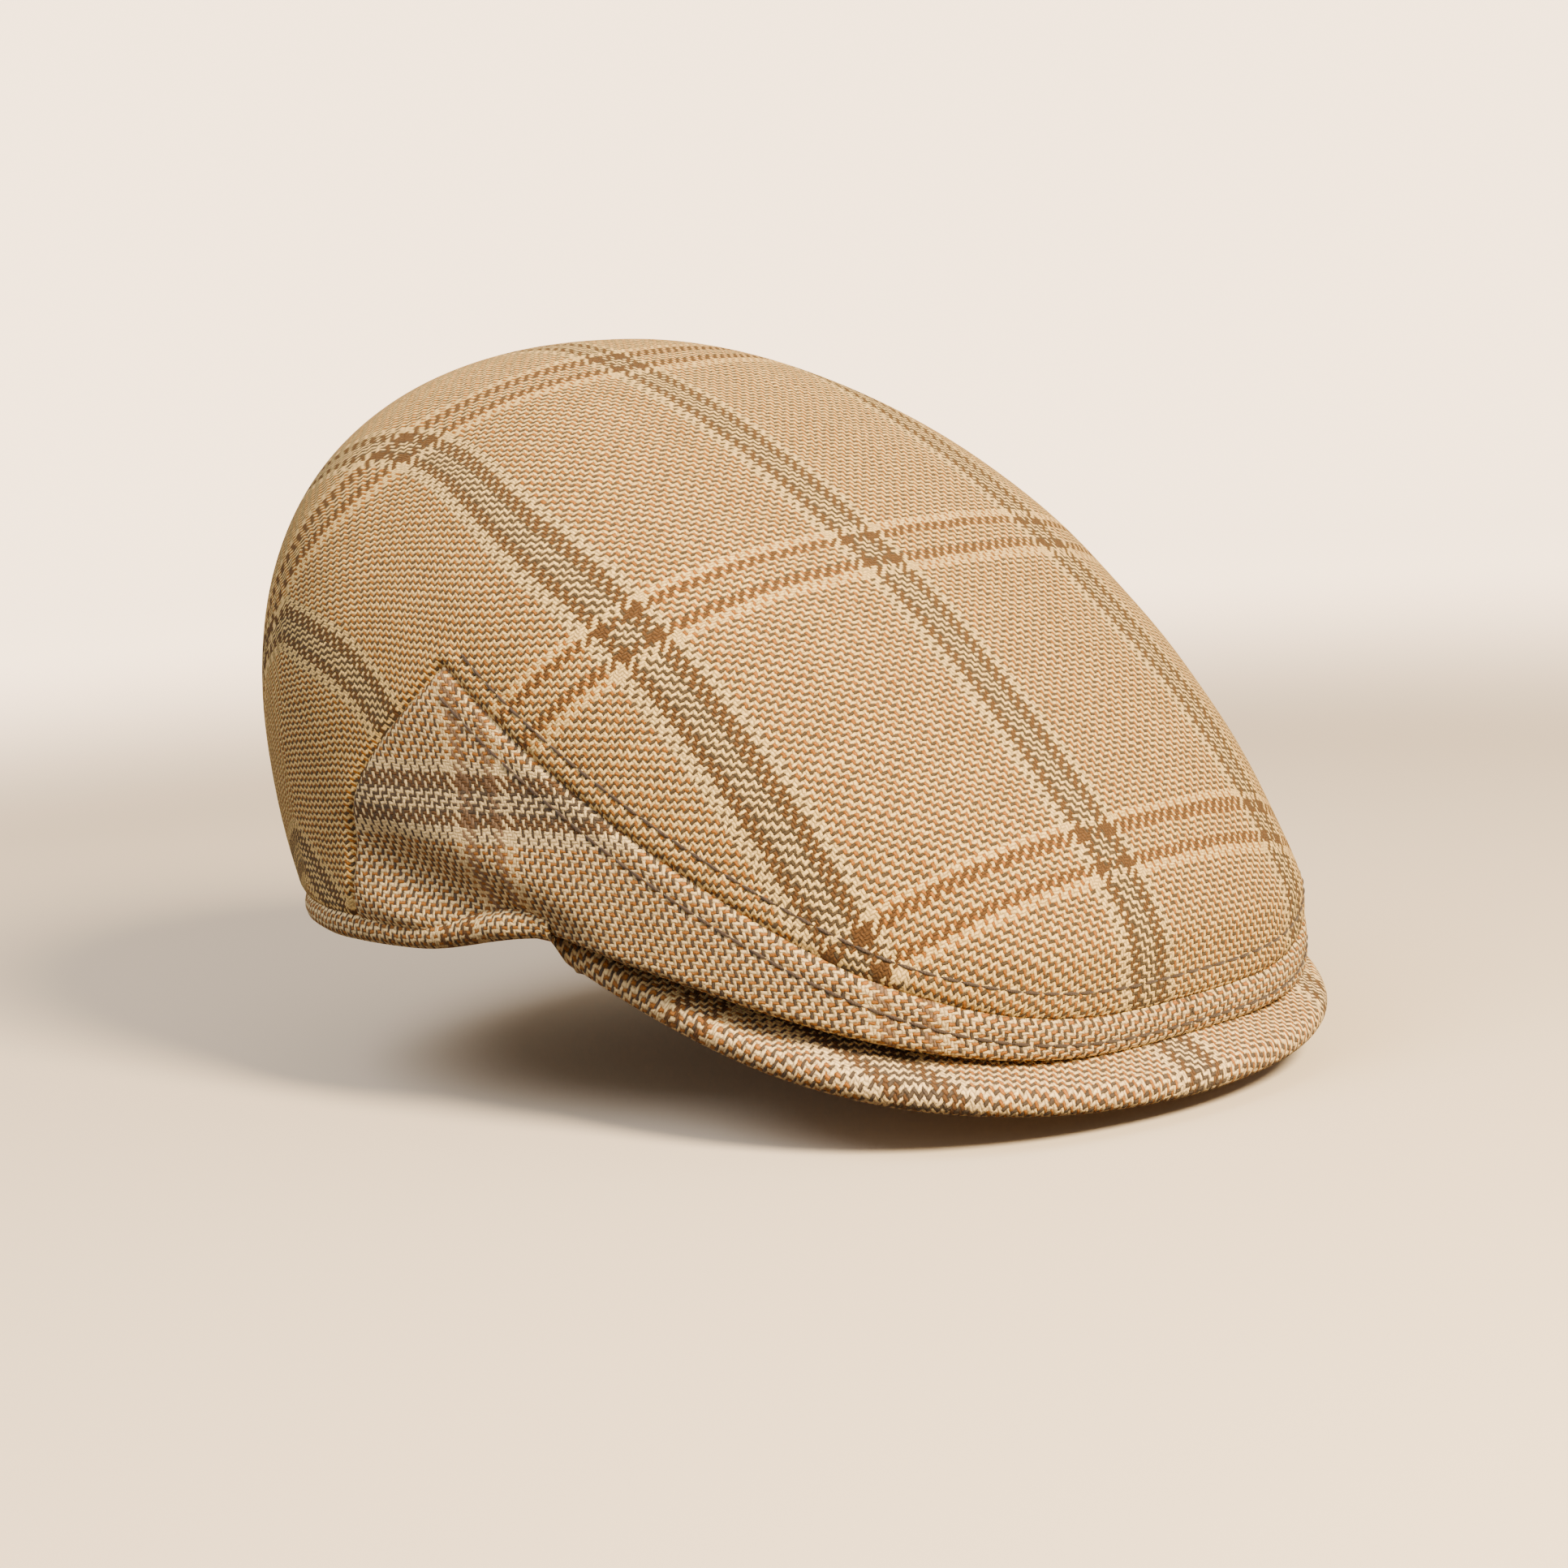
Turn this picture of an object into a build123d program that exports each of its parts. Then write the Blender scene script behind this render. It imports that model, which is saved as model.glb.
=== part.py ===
"""Flat cap (duckbill shape): a top panel, two side panels, a stiff visor and a lined, banded inside.

Frame, in millimetres: +Z up, the visor points to -Y, the wearer's left is +X.
The origin is the centre of the head opening; the bottom edge of the band lies at Z = 0.
"""
import math
import os

from build123d import (
    Align, Box, Compound, Edge, Face, Plane, Polyline, Pos, Solid, Spline, Vector, Wire, export_step, offset,
)

# Crown, outer skin.  Every level is an egg: half-width, back reach and front reach above the widest station.
TOP_Z = 122.0
TOP_Y = 36.0
WIDE_Y = 14.0
SIDE = dict(reach=89.2, level=30.0, rise=2.66, round=2.09, tuck=1.0)
BACK = dict(reach=112.2, level=45.0, rise=1.92, round=2.56, tuck=9.8)
FRONT = dict(reach=-128.8, level=-1.5, rise=1.26, round=1.51, tuck=0.0)
BACK_POWER = 2.0
FRONT_POWER = 3.0
LEVELS = (-36, -16, 4, 22, 40, 57, 72, 86, 98, 107.5, 115, 119, 121)

# Cloth and board thicknesses.
TWEED = 1.5
LINING_START = 2.0
LINING = 0.5
SEAM_GAP = 0.3

# Side view of the seams: the long upper seam from apex to centre front, and the short rear seam.
APEX_Y = -4.8
SEAM_Y0 = -1.8
SEAM_LENGTH = 128.5
SEAM_TOP = 65.2
SEAM_DROP = 80.9
SEAM_POWER = 0.815
REAR_SEAM = ((1.3, 54.5), (11.0, 47.0), (21.0, 37.5), (26.0, 30.0), (27.8, 18.0), (29.0, 6.0), (30.0, -50.0))

# Bottom edge: level behind, a low arch at the temple, then down along the visor.
TEMPLE_Y = -29.0
TEMPLE_Z = 4.7
FOLD_LENGTH = 136.8
FOLD_DROP = 40.3
FOLD_POWER = 1.219
ARCH_START = 10.0
BAND_HEIGHT = 5.5

# Sweatband, an upright oval ring just inside the opening.
BAND_HALF_X = 84.5
BAND_HALF_Y = 97.0
BAND_THICK = 1.0
BAND_Z = 5.0
BAND_RISE = 31.0

# Visor: inner edge on the oval under the sweatband, outer edge swept down and forward.
VISOR_START_Y = -30.0
VISOR_HALF_X = 80.3
VISOR_X_POWER = 1.013
VISOR_Y0 = -27.8
VISOR_LENGTH = 107.0
VISOR_Y_POWER = 0.483
VISOR_Z0 = 3.2
VISOR_DROP = 34.6
VISOR_Z_POWER = 0.355
VISOR_INNER = (80.0, 96.5)
VISOR_INNER_Z = 1.0
VISOR_INNER_DIP = 10.5
VISOR_HALF = 2.5
VISOR_SKIN = 1.3
VISOR_ARCH = 0.6
BOARD_HALF = 0.9
EDGE_WRAP = 2.6

# Topstitching beside the upper seam.
STITCH_OFFSET = 5.2
STITCH_PITCH = 4.4
STITCH = (3.0, 0.6, 0.45)
STITCH_LIFT = 0.3


def shrink(side, z, inset):
    """Share of the full reach left at height z, and how far the skin tucks in below its widest level."""
    top = TOP_Z - inset
    rise = min(max((z - side["level"]) / (top - side["level"]), 0.0), 0.9999)
    tuck = side["tuck"] * (max(side["level"] - z, 0.0) / 40) ** 2
    return (1 - rise ** side["rise"]) ** (1 / side["round"]), tuck


def egg(z, inset=0.0):
    """Half-width, widest station, back end and front end of the crown at height z."""
    share, tuck = shrink(SIDE, z, inset)
    half = (SIDE["reach"] - inset) * share - tuck
    share, tuck = shrink(BACK, z, inset)
    back = TOP_Y + (BACK["reach"] - inset - TOP_Y) * share - tuck
    share, tuck = shrink(FRONT, z, inset)
    front = TOP_Y + (FRONT["reach"] + inset - TOP_Y) * share - tuck
    wide = WIDE_Y + (TOP_Y - WIDE_Y) * min(max(z / TOP_Z, -0.3), 1.0)
    wide = min(max(wide, front + 0.3 * (back - front)), front + 0.8 * (back - front))
    return half, wide, back, front


def level_wire(z, inset):
    half, wide, back, front = egg(z, inset)
    points = []
    for k in range(24):
        turn = math.radians(15 * k)
        cos_t, sin_t = math.cos(turn), math.sin(turn)
        reach = back - wide if sin_t > 0 else wide - front
        power = BACK_POWER if sin_t > 0 else FRONT_POWER
        radius = ((abs(cos_t) / half) ** power + (abs(sin_t) / reach) ** power) ** (-1 / power)
        points.append(Vector(radius * cos_t, wide + radius * sin_t, z))
    return Wire([Edge.make_spline(points, periodic=True, parameters=[k / 24 for k in range(25)])])


def crown_body(inset):
    """Solid egg standing below the whole skin, its walls set in by the given depth."""
    return Solid.make_loft([level_wire(z - inset * (z > 0), inset) for z in LEVELS])


def skin(start, thick):
    return crown_body(start) - crown_body(start + thick)


def seam_z(y):
    share = min(max((SEAM_Y0 - y) / SEAM_LENGTH, 0.0), 1.02)
    return SEAM_TOP - SEAM_DROP * share ** SEAM_POWER


def bottom_z(y):
    if y <= TEMPLE_Y:
        return TEMPLE_Z - FOLD_DROP * ((TEMPLE_Y - y) / FOLD_LENGTH) ** FOLD_POWER
    if y >= ARCH_START:
        return 0.0
    share = (ARCH_START - y) / (ARCH_START - TEMPLE_Y)
    return TEMPLE_Z * share * share * (3 - 2 * share)


def side_prism(points, grow=0.0):
    """Slab across the whole cap from a closed side-view outline of (y, z) points."""
    face = Face(Wire([e for e in Polyline(*[(0, y, z) for y, z in points], close=True).edges()]))
    if grow:
        face = offset(face, grow).faces()[0]
    return Solid.extrude(face, Vector(300, 0, 0)).moved(Pos(-150, 0, 0))


def side_region(grow=0.0):
    upper = [(y, seam_z(y)) for y in (-131, -128, -124, -118, -110, -100, -88, -76, -64, -52, -40, -30, -21, -13, -8)]
    outline = [(-190, seam_z(-131)), *upper, (APEX_Y, 58.2), *REAR_SEAM, (-190, -50)]
    return side_prism(outline, grow)


def bottom_strip(low, high, y_from, y_to):
    """Slab between two heights above the bottom edge, over a stretch of the cap's length."""
    count = 24
    stations = [y_from + (y_to - y_from) * k / count for k in range(count + 1)]
    under = [(y, bottom_z(y) + low) for y in stations]
    over = [(y, bottom_z(y) + high) for y in reversed(stations)]
    return side_prism(under + over)


def oval(half_x, half_y, low, high):
    points = [Vector(half_x * math.cos(math.radians(t)), half_y * math.sin(math.radians(t)), low)
              for t in range(0, 360, 10)]
    face = Face(Wire([Spline(*points, periodic=True).edge()]))
    return Solid.extrude(face, Vector(0, 0, high - low))


def half_space(sign):
    low = SEAM_GAP / 2 if sign > 0 else -150
    return Box(150 - SEAM_GAP / 2, 400, 400, align=(Align.MIN, Align.CENTER, Align.CENTER)).moved(Pos(low, 0, 0))


def visor_station(turn):
    """Inner and outer mid-surface points of the visor, turn running from -90 to 90 degrees."""
    cos_t = math.cos(math.radians(turn))
    y = VISOR_START_Y - (VISOR_LENGTH - VISOR_Y0 + VISOR_START_Y) * cos_t
    along = min(((VISOR_Y0 - y) / VISOR_LENGTH) ** (1 / VISOR_Y_POWER), 1.0)
    across = math.sqrt(max(1 - along * along, 0.0))
    outer = Vector(math.copysign(VISOR_HALF_X * across ** VISOR_X_POWER, turn), y,
                   VISOR_Z0 - VISOR_DROP * along ** VISOR_Z_POWER)
    half_x, half_y = VISOR_INNER
    swing = math.radians(turn) * math.acos(-VISOR_START_Y / half_y) / (math.pi / 2)
    inner = Vector(half_x * math.sin(swing), -half_y * math.cos(swing), VISOR_INNER_Z - VISOR_INNER_DIP * cos_t)
    return inner, outer


def fold_station(turn):
    """Where the crown's bottom fold turns in above the visor."""
    inner, _ = visor_station(turn)
    y = TEMPLE_Y - 1 - (-FRONT["reach"] + TEMPLE_Y - 1 - TWEED / 2) * math.cos(math.radians(turn))
    z = bottom_z(y)
    half, wide, _, front = egg(z, TWEED / 2)
    share = min((wide - y) / (wide - front), 1.0)
    return inner, Vector(math.copysign(half * (1 - share ** FRONT_POWER) ** (1 / FRONT_POWER), turn), y, z)


def ribbon(stations, outline, arch):
    """Loft an (along, up) outline across the stations, bowed upward between its two ends."""
    wires = []
    for inner, outer in stations:
        run = outer - inner
        along = run.normalized()
        up = (Vector(0, 0, 1) - along * along.Z).normalized()
        points = []
        for s, n in outline(run.length):
            share = min(max(s / run.length, 0.0), 1.0)
            points.append(inner + along * s + up * (n + 4 * arch * share * (1 - share)))
        wires.append(Wire([e for e in Polyline(*points, close=True).edges()]))
    return Solid.make_loft(wires)


def layer(start, end_margin, low, high, end_drop=0.0):
    """Outline of one flat ply, which may sink by end_drop towards its outer end."""
    def outline(width):
        end = width - end_margin
        steps = [start + (end - start) * k / 4 for k in range(5)]
        under = [(s, low - end_drop * s / width) for s in steps]
        return under + [(s, n + high - low) for s, n in reversed(under)]
    return outline


def wrapped_cover(width):
    """Upper cover: a flat run, then a rounded edge that turns down over the board."""
    top, under = VISOR_HALF, VISOR_HALF - VISOR_SKIN
    lip = width - 1.9
    steps = [lip * k / 3 for k in range(4)]
    rim = [(width - 0.7, top), (width + 0.2, top - 0.9), (width + 0.6, 0.0), (width + 0.2, -top + 0.9),
           (width - 0.7, -top), (lip, -top)]
    return [(s, top) for s in steps] + rim + [(s, under) for s in reversed(steps)]


def make_visor():
    wide = [visor_station(t) for t in range(-90, 91, 6)]
    middle = [visor_station(t) for t in range(-72, 73, 6)]
    return {
        "visor_cover_top": ribbon(wide, wrapped_cover, VISOR_ARCH),
        "visor_cover_bottom": ribbon(wide, layer(0.0, EDGE_WRAP, -VISOR_HALF, -VISOR_HALF + VISOR_SKIN), VISOR_ARCH),
        "visor_board": ribbon(middle, layer(1.0, EDGE_WRAP, -BOARD_HALF, BOARD_HALF), VISOR_ARCH),
    }


def make_turn_in():
    """Hidden strip of the side panels, running from the front fold back to the head opening."""
    low = VISOR_HALF + 0.4
    strip = ribbon([fold_station(t) for t in range(-90, 91, 6)], layer(0.0, 0.0, low, low + 1.3, low), 1.6)
    band_room = oval(BAND_HALF_X + SEAM_GAP, BAND_HALF_Y + SEAM_GAP, BAND_Z - SEAM_GAP, 60)
    return (strip & crown_body(0.2)) - band_room


def make_crown():
    front = bottom_strip(0.0, 260, -190, TEMPLE_Y - SEAM_GAP)
    rest = bottom_strip(BAND_HEIGHT + SEAM_GAP, 260, TEMPLE_Y - SEAM_GAP, 160)
    shell = skin(0.0, TWEED) & (front + rest)
    sides = (shell & side_region()) + make_turn_in()
    return {
        "top_panel": shell - side_region(SEAM_GAP),
        "side_panel_left": sides & half_space(1),
        "side_panel_right": sides & half_space(-1),
    }


def make_edge_band():
    wall = skin(0.0, TWEED) & bottom_strip(0.0, BAND_HEIGHT, TEMPLE_Y, 160)
    ring = crown_body(0.2) - oval(BAND_HALF_X + SEAM_GAP, BAND_HALF_Y + SEAM_GAP, -60, 60)
    return wall + (ring & bottom_strip(0.0, TWEED, TEMPLE_Y, 160))


def make_lining():
    shell = skin(LINING_START, LINING)
    shell = shell & (bottom_strip(8.0, 260, -190, 160))
    return {
        "lining_top": shell - side_region(SEAM_GAP),
        "lining_side_left": shell & side_region() & half_space(1),
        "lining_side_right": shell & side_region() & half_space(-1),
    }


def make_inside():
    low, high = BAND_Z, BAND_Z + BAND_RISE

    def ring(inset, thick):
        hole = oval(BAND_HALF_X - inset - thick, BAND_HALF_Y - inset - thick, low, high)
        return oval(BAND_HALF_X - inset, BAND_HALF_Y - inset, low, high) - hole

    tag_zone = Box(18, 40, 14).moved(Pos(0, BAND_HALF_Y, low + 16))
    patch_zone = Box(56, 34, 60).moved(Pos(0, 28, TOP_Z))
    return {
        "sweatband": ring(0.0, BAND_THICK),
        "size_label": ring(BAND_THICK + SEAM_GAP, 0.4) & tag_zone,
        "lining_label": skin(LINING_START + LINING + SEAM_GAP, 0.4) & patch_zone,
    }


def crown_gap(p):
    """Signed measure of how far a point stands outside the crown's outer skin."""
    half, wide, back, front = egg(p.Z)
    reach = back - wide if p.Y > wide else wide - front
    power = BACK_POWER if p.Y > wide else FRONT_POWER
    return ((abs(p.X) / half) ** power + (abs(p.Y - wide) / reach) ** power) ** (1 / power) - 1


def crown_normal(p):
    step = 0.05
    axes = (Vector(step, 0, 0), Vector(0, step, 0), Vector(0, 0, step))
    return Vector(*[(crown_gap(p + a) - crown_gap(p - a)) / (2 * step) for a in axes])


def onto_crown(p):
    for _ in range(4):
        slope = crown_normal(p)
        p = p - slope * (crown_gap(p) / slope.dot(slope))
    return p


def seam_point(turn):
    y = APEX_Y - 2 - (-FRONT["reach"] + APEX_Y - 2) * math.cos(math.radians(turn))
    z = seam_z(y)
    half, wide, _, front = egg(z)
    share = min((wide - y) / (wide - front), 1.0)
    return Vector(math.copysign(half * (1 - share ** FRONT_POWER) ** (1 / FRONT_POWER), turn), y, z)


def stitch_row(shift):
    """Stitches along the upper seam, shifted up (+) or down (-) the cloth from it."""
    seam = [seam_point(t / 2) for t in range(-180, 181)]
    row = []
    for k in range(1, len(seam) - 1):
        along = (seam[k + 1] - seam[k - 1]).normalized()
        normal = crown_normal(seam[k]).normalized()
        up = normal.cross(along) * math.copysign(1.0, normal.cross(along).Z)
        row.append(onto_crown(seam[k] + up * shift))
    stitches = []
    travelled = STITCH_PITCH
    for start, end in zip(row, row[1:]):
        travelled += (end - start).length
        if travelled < STITCH_PITCH:
            continue
        travelled = 0.0
        normal = crown_normal(start).normalized()
        spot = Plane(origin=start + normal * (STITCH_LIFT + STITCH[2] / 2), x_dir=end - start, z_dir=normal)
        stitches.append(spot * Box(*STITCH))
    return Compound(children=stitches)


def main():
    os.makedirs("parts", exist_ok=True)
    pieces = {
        **make_crown(),
        "edge_band": make_edge_band(),
        **make_visor(),
        **make_lining(),
        **make_inside(),
        "topstitch_upper": stitch_row(STITCH_OFFSET),
        "topstitch_lower": stitch_row(-STITCH_OFFSET),
    }
    for name, shape in pieces.items():
        print(name, len(shape.solids()), round(shape.volume), shape.is_valid)
        export_step(shape, f"parts/{name}.step")


if __name__ == "__main__":
    main()
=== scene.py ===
"""Looks of the tweed flat cap: cloth, stitching, visor, lining and sweatband on the frame."""

import math

import bpy
import numpy as np
from mathutils import Matrix, Vector
from mathutils.kdtree import KDTree


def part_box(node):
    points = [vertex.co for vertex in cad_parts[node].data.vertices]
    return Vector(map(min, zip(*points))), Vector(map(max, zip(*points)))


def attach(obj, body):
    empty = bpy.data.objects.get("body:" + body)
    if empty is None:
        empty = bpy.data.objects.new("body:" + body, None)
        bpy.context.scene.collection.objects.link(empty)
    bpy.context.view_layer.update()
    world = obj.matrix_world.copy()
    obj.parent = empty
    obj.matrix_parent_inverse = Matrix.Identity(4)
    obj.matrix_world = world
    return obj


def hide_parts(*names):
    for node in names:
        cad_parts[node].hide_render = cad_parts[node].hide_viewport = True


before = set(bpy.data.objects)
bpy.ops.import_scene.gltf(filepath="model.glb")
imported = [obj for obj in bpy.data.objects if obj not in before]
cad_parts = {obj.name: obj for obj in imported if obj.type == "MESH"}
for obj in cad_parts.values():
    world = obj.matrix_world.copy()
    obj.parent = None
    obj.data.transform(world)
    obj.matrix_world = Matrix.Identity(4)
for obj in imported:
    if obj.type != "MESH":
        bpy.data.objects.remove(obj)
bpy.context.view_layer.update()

MM = 0.001

# The crown is one stack of egg-shaped level sections, in millimetres, as in the CAD.
TOP_Z = 122.0
TOP_Y = 36.0
WIDE_Y = 14.0
SIDE = dict(reach=89.2, level=30.0, rise=2.66, round=2.09, tuck=1.0)
BACK = dict(reach=112.2, level=45.0, rise=1.92, round=2.56, tuck=9.8)
FRONT = dict(reach=-128.8, level=-1.5, rise=1.26, round=1.51, tuck=0.0)
BACK_POWER = 2.0
FRONT_POWER = 3.0

# Seam between the top and side panels, the rear seam, and the bottom fold.
APEX_Y = -4.8
SEAM_Y0 = -1.8
SEAM_LENGTH = 128.5
SEAM_TOP = 65.2
SEAM_DROP = 80.9
SEAM_POWER = 0.815
REAR_SEAM = ((-4.8, 60.0), (1.3, 54.5), (11, 47), (21, 37.5), (26, 30), (27.8, 18))
REAR_SEAM += ((29, 6), (30, -50))
TEMPLE_Y = -29.0
TEMPLE_Z = 4.7
FOLD_LENGTH = 136.8
FOLD_DROP = 40.3
FOLD_POWER = 1.219
ARCH_START = 10.0

# Visor.
VISOR_START_Y = -30.0
VISOR_HALF_X = 80.3
VISOR_X_POWER = 1.013
VISOR_Y0 = -27.8
VISOR_LENGTH = 107.0
VISOR_Y_POWER = 0.483
VISOR_Z0 = 3.2
VISOR_DROP = 34.6
VISOR_Z_POWER = 0.355
VISOR_INNER = (80.0, 96.5)
VISOR_INNER_Z = 1.0
VISOR_INNER_DIP = 10.5
VISOR_HALF = 2.5
VISOR_ARCH = 0.6

# Sweatband.
BAND_HALF_X = 84.5
BAND_HALF_Y = 97.0
BAND_Z = 5.0
BAND_RISE = 31.0

# Topstitching, and the stitches of the sweatband.
STITCH_OFFSET = 5.2
STITCH_PITCH = 4.4
STITCH_LENGTH = 4.0
STITCH_LIFT = 0.14
STITCH_SIZE = (0.75, 0.5)
BAND_STITCHES = 150
BAND_STITCH_SIZE = (0.6, 0.45)


# ---- crown surface


def smooth(x):
    x = np.clip(x, 0.0, 1.0)
    return x * x * (3 - 2 * x)


def lengths(points):
    """Length along a line up to each of its points."""
    steps = np.linalg.norm(np.diff(points, axis=0), axis=1)
    return np.concatenate([[0], np.cumsum(steps)])


def coords(*parts):
    return np.stack(parts, -1)


def unit(vectors):
    return vectors / np.linalg.norm(vectors, axis=-1, keepdims=True)


def bisect(beyond, low, high, rounds):
    """Narrows low and high to the place where beyond turns true."""
    for _ in range(rounds):
        middle = (low + high) / 2
        over = beyond(middle)
        high = np.where(over, middle, high)
        low = np.where(over, low, middle)
    return low, high


def share_at(side, z):
    rise = np.clip((z - side["level"]) / (TOP_Z - side["level"]), 0, 0.99999)
    return (1 - rise ** side["rise"]) ** (1 / side["round"])


def egg(z):
    """Half width, widest line, back and front of the level section at height z."""

    def tuck(side):
        return side["tuck"] * (np.maximum(side["level"] - z, 0) / 40) ** 2

    half = SIDE["reach"] * share_at(SIDE, z) - tuck(SIDE)
    back = TOP_Y + (BACK["reach"] - TOP_Y) * share_at(BACK, z) - tuck(BACK)
    front = TOP_Y + (FRONT["reach"] - TOP_Y) * share_at(FRONT, z)
    wide = WIDE_Y + (TOP_Y - WIDE_Y) * np.clip(z / TOP_Z, -0.3, 1)
    wide = np.clip(wide, front + 0.3 * (back - front), front + 0.8 * (back - front))
    return half, wide, back, front


def crown(turn, z):
    """Point of the crown at a turn from the front centre (radians, towards +X) and a height."""
    turn, z = np.broadcast_arrays(np.asarray(turn, float), np.asarray(z, float))
    half, wide, back, front = egg(z)
    s, c = np.sin(turn), np.cos(turn)
    power = np.where(c >= 0, FRONT_POWER, BACK_POWER)
    reach = np.where(c >= 0, wide - front, back - wide)
    radius = ((np.abs(s) / half) ** power + (np.abs(c) / reach) ** power) ** (-1 / power)
    return coords(radius * s, wide - radius * c, z)


def section(y, z):
    """Half width and widest line at height z, and the outline's power and reach at y."""
    half, wide, back, front = egg(z)
    behind = y > wide
    power = np.where(behind, BACK_POWER, FRONT_POWER)
    return half, wide, power, np.where(behind, back - wide, wide - front)


def gap(p):
    """How far outside the crown a point stands: 0 on it, negative inside."""
    half, wide, power, reach = section(p[..., 1], np.minimum(p[..., 2], TOP_Z - 0.05))
    ratio = (np.abs(p[..., 0]) / half) ** power + (np.abs(p[..., 1] - wide) / reach) ** power
    over = np.maximum(p[..., 2] - TOP_Z, 0)
    return ratio ** (1 / power) - 1 + over


def gap_change(p, step):
    """Change of the gap over two steps along each axis."""
    return np.stack([gap(p + step * axis) - gap(p - step * axis) for axis in np.eye(3)], -1)


def crown_normal(p):
    slope = gap_change(p, 0.2)
    normal = slope / np.maximum(np.linalg.norm(slope, axis=-1, keepdims=True), 1e-9)
    top = smooth((p[..., 2:3] - TOP_Z + 1.5) / 1.2)
    normal = normal * (1 - top) + np.array([0, 0, 1.0]) * top
    return unit(normal)


def onto_crown(p, step=0.05):
    for _ in range(4):
        slope = gap_change(p, step) / (2 * step)
        p = p - slope * (gap(p) / np.maximum((slope**2).sum(-1), 1e-9))[..., None]
    return p


def seam_z(y):
    along = np.clip((SEAM_Y0 - y) / SEAM_LENGTH, 0, 1.02)
    return SEAM_TOP - SEAM_DROP * along**SEAM_POWER


def bottom_z(y):
    front = TEMPLE_Z - FOLD_DROP * (np.maximum(TEMPLE_Y - y, 0) / FOLD_LENGTH) ** FOLD_POWER
    rise = TEMPLE_Z * smooth((ARCH_START - y) / (ARCH_START - TEMPLE_Y))
    return np.where(y <= TEMPLE_Y, front, rise)


def solve_height(turn, target, low, high):
    """Height at which the crown at a turn meets target(y)."""

    def above(z):
        return z > target(crown(turn, z)[..., 1])

    low, high = bisect(above, np.full_like(turn, low), np.full_like(turn, high), 40)
    return (low + high) / 2


def turn_at(y, z):
    half, wide, power, reach = section(y, z)
    x = half * np.maximum(1 - np.minimum(np.abs(y - wide) / reach, 1) ** power, 0) ** (1 / power)
    return np.arctan2(x, wide - y)


def along(curve, count):
    """count points at even steps of arc length along (turn, z) samples."""
    points = crown(curve[:, 0], curve[:, 1])
    length = lengths(points)
    steps = np.linspace(0, length[-1], count)
    return np.stack([np.interp(steps, length, curve[:, k]) for k in (0, 1)], -1)


def rounded(values, width):
    """Running mean that keeps both ends."""
    padded = np.pad(values, width, mode="reflect", reflect_type="odd")
    kernel = np.ones(2 * width + 1) / (2 * width + 1)
    return np.convolve(padded, kernel, mode="valid")


REAR_Y, REAR_Z = (np.array(c, float) for c in zip(*REAR_SEAM))
REAR_STEPS = np.linspace(60.0, -6.0, 265)
REAR_CURVE = rounded(np.interp(-REAR_STEPS, -REAR_Z, REAR_Y), 22)
APEX_TURN = float(turn_at(np.array(REAR_CURVE[0]), np.array(REAR_STEPS[0])))


def rear_boundary(bottom):
    """(turn, z) down the rear seam from its apex to the bottom height."""
    keep = REAR_STEPS >= bottom
    return coords(turn_at(REAR_CURVE[keep], REAR_STEPS[keep]), REAR_STEPS[keep])


def seam_boundary(count=700):
    """(turn, z) along the upper seam from the apex to the front centre."""
    turns = np.linspace(APEX_TURN, 0, count)
    heights = solve_height(turns, seam_z, -40.0, 80.0)
    heights = heights + (REAR_STEPS[0] - heights[0]) * np.exp(-np.linspace(0, 12, count))
    return coords(turns, heights)


# ---- shaping of the cloth


def tree_of(points):
    tree = KDTree(len(points))
    for index, point in enumerate(points):
        tree.insert(point, index)
    tree.balance()
    return tree


def distance_to(tree, points):
    flat = points.reshape(-1, 3)
    near = [tree.find(p) for p in flat]
    return np.array([n[2] for n in near]).reshape(points.shape[:-1])


def bump(distance, centre, width):
    return np.exp(-(((distance - centre) / width) ** 2))


SEAM_HALF = crown(*seam_boundary().T)
REAR_HALF = crown(*rear_boundary(-5.0).T)
FLIP = np.array([-1.0, 1.0, 1.0])
TOP_SEAM_TREE = tree_of(np.concatenate([SEAM_HALF, SEAM_HALF * FLIP]))
REAR_SEAM_TREE = tree_of(np.concatenate([REAR_HALF, REAR_HALF * FLIP]))


DENT_START = np.array([31.0, 22.5])
DENT_END = np.array([-33.0, 4.0])
DENT_DEPTH = 3.2
DENT_WIDTH = 5.5


def seam_relief(base):
    """Cloth beside the seams: a sunk joint, a padded welt, and the topstitch's pull."""
    d = distance_to(TOP_SEAM_TREE, base)
    r = distance_to(REAR_SEAM_TREE, base)
    sunk = -0.8 * bump(d, 0, 0.8) - 0.2 * bump(d, 0, 3.0)
    welt = 0.18 * bump(d, 2.9, 1.5)
    pull = -0.22 * bump(d, STITCH_OFFSET, 0.95)
    rear = -0.9 * bump(r, 0, 1.0) + 0.25 * bump(r, 2.8, 1.6)
    behind = smooth((base[..., 1] - 60) / 10) * smooth((DART_TIP - base[..., 2]) / 14)
    dart = -0.9 * bump(base[..., 0], 0, 1.1) + 0.3 * bump(np.abs(base[..., 0]), 3.2, 1.8)
    return sunk + welt + pull + dart * behind + rear * smooth((d - 0.4) / 2.0 + 0.4)


def hand_made(base):
    """Gentle unevenness of sewn and worn cloth."""
    x, y, z = base[..., 0], base[..., 1], base[..., 2]
    waves = 0.34 * np.sin(x / 17.0 + 1.3 * np.sin(y / 31.0)) * np.sin(y / 19.0 + 0.7)
    waves += 0.26 * np.sin(z / 11.0 + y / 27.0 + 2.0) * np.sin(x / 23.0 - 0.4)
    waves += 0.16 * np.sin(y / 7.3 + x / 15.0) * np.sin(z / 9.1 + x / 21.0)
    return waves


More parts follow.
